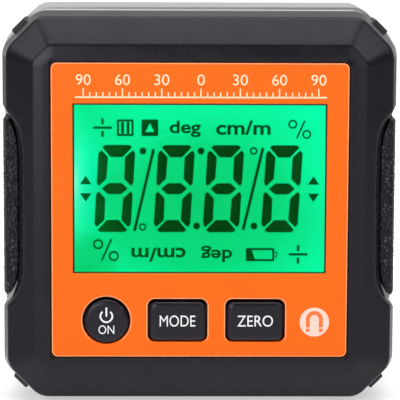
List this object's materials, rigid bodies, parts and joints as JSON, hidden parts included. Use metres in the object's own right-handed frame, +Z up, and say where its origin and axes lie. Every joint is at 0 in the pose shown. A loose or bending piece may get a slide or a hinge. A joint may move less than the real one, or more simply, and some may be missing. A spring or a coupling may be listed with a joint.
{
  "type": "digital angle gauge",
  "caption": "Square digital angle gauge with a bevelled case, lit display, push keys, rubber side grips, aluminium frame with a grooved magnetic base, and a rear battery bay.",
  "frame": {"origin": "middle of the base, on the surface that the gauge stands on", "axes": "+Z up, +Y from the display face to the battery side, +X to the right as the display is read"},
  "size_m": [0.06, 0.03, 0.06],
  "materials": {
    "case_plastic": "fine satin moulding",
    "orange_panel": "smooth printed plastic",
    "clear_window": "clear",
    "black_foam": "matt",
    "display_glass": "lit green",
    "light_guide": "clear, edge lit",
    "white_plastic": "plain moulding",
    "contact_rubber": "matt",
    "led_package": "plain",
    "board_laminate": "solder resist",
    "chip_resin": "moulded resin",
    "screw_steel": "plated",
    "switch_plastic": "plain moulding",
    "plunger_plastic": "plain moulding",
    "key_plastic": "fine satin moulding",
    "grip_rubber": "fine grained",
    "pad_rubber": "matt",
    "frame_aluminium": "fine brushed, anodised",
    "magnet_plating": "nickel plated",
    "cell_jacket": "shrink sleeve",
    "contact_steel": "nickel plated"
  },
  "bodies": {
    "gauge_body": {"front_case": "case_plastic", "rear_cover": "case_plastic", "face_panel": "orange_panel", "display_window": "clear_window", "display_gasket": "black_foam", "lcd_cell": "display_glass", "light_guide": "light_guide", "display_holder": "white_plastic", "contact_strips": "contact_rubber", "backlight_leds": "led_package", "circuit_board": "board_laminate", "controller_chip": "chip_resin", "sensor_chip": "chip_resin", "board_screws": "screw_steel", "case_screws": "screw_steel", "power_switch": "switch_plastic", "mode_switch": "switch_plastic", "zero_switch": "switch_plastic", "grip_left": "grip_rubber", "grip_right": "grip_rubber", "corner_pads": "pad_rubber", "frame_ring": "frame_aluminium", "base_magnets": "magnet_plating", "upper_cell": "cell_jacket", "lower_cell": "cell_jacket", "bridge_contact": "contact_steel", "positive_contact": "contact_steel", "negative_contact": "contact_steel", "bridge_spring": "contact_steel", "negative_spring": "contact_steel"},
    "power_key_body": {"power_key": "key_plastic", "power_plunger": "plunger_plastic"},
    "mode_key_body": {"mode_key": "key_plastic", "mode_plunger": "plunger_plastic"},
    "zero_key_body": {"zero_key": "key_plastic", "zero_plunger": "plunger_plastic"},
    "door_body": {"battery_door": "case_plastic"}
  },
  "joints": [
    {"name": "power_key_press", "type": "slide", "parent": "gauge_body", "child": "power_key_body", "axis": [0, 1, 0], "range_m": [0, 0.0005], "stiffness_N_per_m": 600},
    {"name": "mode_key_press", "type": "slide", "parent": "gauge_body", "child": "mode_key_body", "axis": [0, 1, 0], "range_m": [0, 0.0005], "stiffness_N_per_m": 600},
    {"name": "zero_key_press", "type": "slide", "parent": "gauge_body", "child": "zero_key_body", "axis": [0, 1, 0], "range_m": [0, 0.0005], "stiffness_N_per_m": 600},
    {"name": "battery_door_hinge", "type": "hinge", "parent": "gauge_body", "child": "door_body", "pos_m": [0, 0.0139, 0.0409], "axis": [1, 0, 0], "range_deg": [0, 70]}
  ]
}
